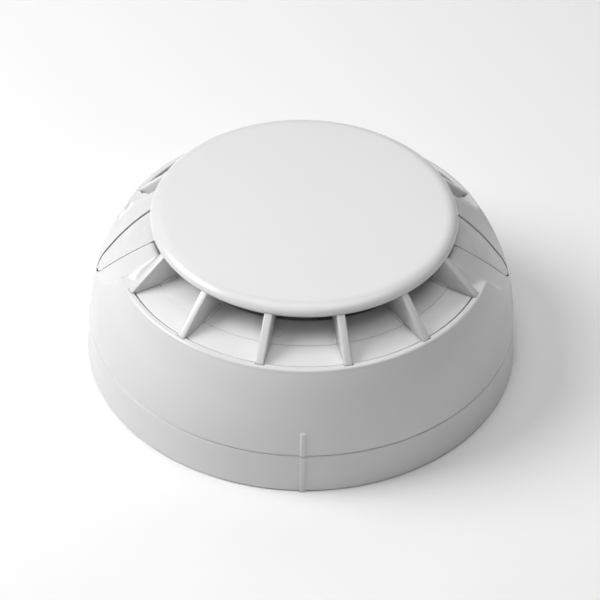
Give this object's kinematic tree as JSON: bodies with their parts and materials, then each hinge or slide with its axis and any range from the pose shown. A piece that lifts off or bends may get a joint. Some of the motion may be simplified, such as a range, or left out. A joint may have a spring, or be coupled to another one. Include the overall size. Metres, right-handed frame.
{
  "type": "heat detector",
  "caption": "Round ceiling heat detector: a domed head with radial air vanes under a flat disc and two side indicator windows, twist-locked to a wired mounting base.",
  "frame": {"origin": "centre of the base's mounting face, which rests on the ceiling or table", "axes": "+Z out of the mounting face towards the sensing disc, -Y towards the front alignment marks, +X towards the right indicator window"},
  "size_m": [0.1, 0.1003, 0.0385],
  "materials": {
    "white_shell": "satin moulded white",
    "white_base": "satin moulded white",
    "grey_chassis": "matt moulded off-white",
    "milky_lens": "milky translucent, polished",
    "lamp_resin": "clear red resin",
    "board_laminate": "solder-masked laminate",
    "zinc_screws": "zinc plated",
    "zinc_clamps": "zinc plated",
    "contact_brass": "bright rolled",
    "mast_plastic": "natural moulded",
    "lead_wire": "tinned",
    "bead_epoxy": "glossy dark epoxy",
    "chip_epoxy": "matt epoxy",
    "capacitor_ceramic": "fired ceramic",
    "capacitor_sleeve": "shrunk sleeve"
  },
  "bodies": {
    "base": {"base_ring": "white_base", "terminal_contact_1": "contact_brass", "terminal_contact_2": "contact_brass", "terminal_contact_3": "contact_brass", "terminal_contact_4": "contact_brass"},
    "head": {"outer_cover": "white_shell", "indicator_lens_right": "milky_lens", "indicator_lens_left": "milky_lens", "vent_floor": "white_shell", "vane_ring": "white_shell", "top_disc": "white_shell", "chassis": "grey_chassis", "bayonet_feet": "grey_chassis", "circuit_board": "board_laminate", "case_screws": "zinc_screws", "board_screws": "zinc_screws", "thermistor_mast": "mast_plastic", "thermistor_leads": "lead_wire", "thermistor_bead": "bead_epoxy", "indicator_lamp_right": "lamp_resin", "indicator_lamp_left": "lamp_resin", "processor_chip": "chip_epoxy", "bridge_rectifier": "chip_epoxy", "chip_resistors": "chip_epoxy", "filter_capacitors": "capacitor_ceramic", "storage_capacitor": "capacitor_sleeve", "head_contact_1": "contact_brass", "head_contact_2": "contact_brass", "head_contact_3": "contact_brass", "head_contact_4": "contact_brass"},
    "clamp_1": {"terminal_clamp_1": "zinc_clamps"},
    "screw_1": {"terminal_screw_1": "zinc_screws"},
    "clamp_2": {"terminal_clamp_2": "zinc_clamps"},
    "screw_2": {"terminal_screw_2": "zinc_screws"},
    "clamp_3": {"terminal_clamp_3": "zinc_clamps"},
    "screw_3": {"terminal_screw_3": "zinc_screws"},
    "clamp_4": {"terminal_clamp_4": "zinc_clamps"},
    "screw_4": {"terminal_screw_4": "zinc_screws"}
  },
  "joints": [
    {"name": "head_twist", "type": "hinge", "parent": "base", "child": "head", "pos_m": [0, 0, 0.01], "axis": [0, 0, 1], "range_deg": [0, 18]},
    {"name": "clamp_1_lift", "type": "slide", "parent": "base", "child": "clamp_1", "axis": [0, 0, 1], "range_m": [0, 0.0012]},
    {"name": "screw_1_turn", "type": "hinge", "parent": "clamp_1", "child": "screw_1", "pos_m": [0.01697, 0.01697, 0.0064], "axis": [0, 0, 1], "range_deg": [0, 720]},
    {"name": "clamp_2_lift", "type": "slide", "parent": "base", "child": "clamp_2", "axis": [0, 0, 1], "range_m": [0, 0.0012]},
    {"name": "screw_2_turn", "type": "hinge", "parent": "clamp_2", "child": "screw_2", "pos_m": [-0.01697, 0.01697, 0.0064], "axis": [0, 0, 1], "range_deg": [0, 720]},
    {"name": "clamp_3_lift", "type": "slide", "parent": "base", "child": "clamp_3", "axis": [0, 0, 1], "range_m": [0, 0.0012]},
    {"name": "screw_3_turn", "type": "hinge", "parent": "clamp_3", "child": "screw_3", "pos_m": [-0.01697, -0.01697, 0.0064], "axis": [0, 0, 1], "range_deg": [0, 720]},
    {"name": "clamp_4_lift", "type": "slide", "parent": "base", "child": "clamp_4", "axis": [0, 0, 1], "range_m": [0, 0.0012]},
    {"name": "screw_4_turn", "type": "hinge", "parent": "clamp_4", "child": "screw_4", "pos_m": [0.01697, -0.01697, 0.0064], "axis": [0, 0, 1], "range_deg": [0, 720]}
  ],
  "couplings": [
    {"joint": "screw_1_turn", "follows": "clamp_1_lift", "rad_per_m": 10472},
    {"joint": "screw_2_turn", "follows": "clamp_2_lift", "rad_per_m": 10472},
    {"joint": "screw_3_turn", "follows": "clamp_3_lift", "rad_per_m": 10472},
    {"joint": "screw_4_turn", "follows": "clamp_4_lift", "rad_per_m": 10472}
  ]
}
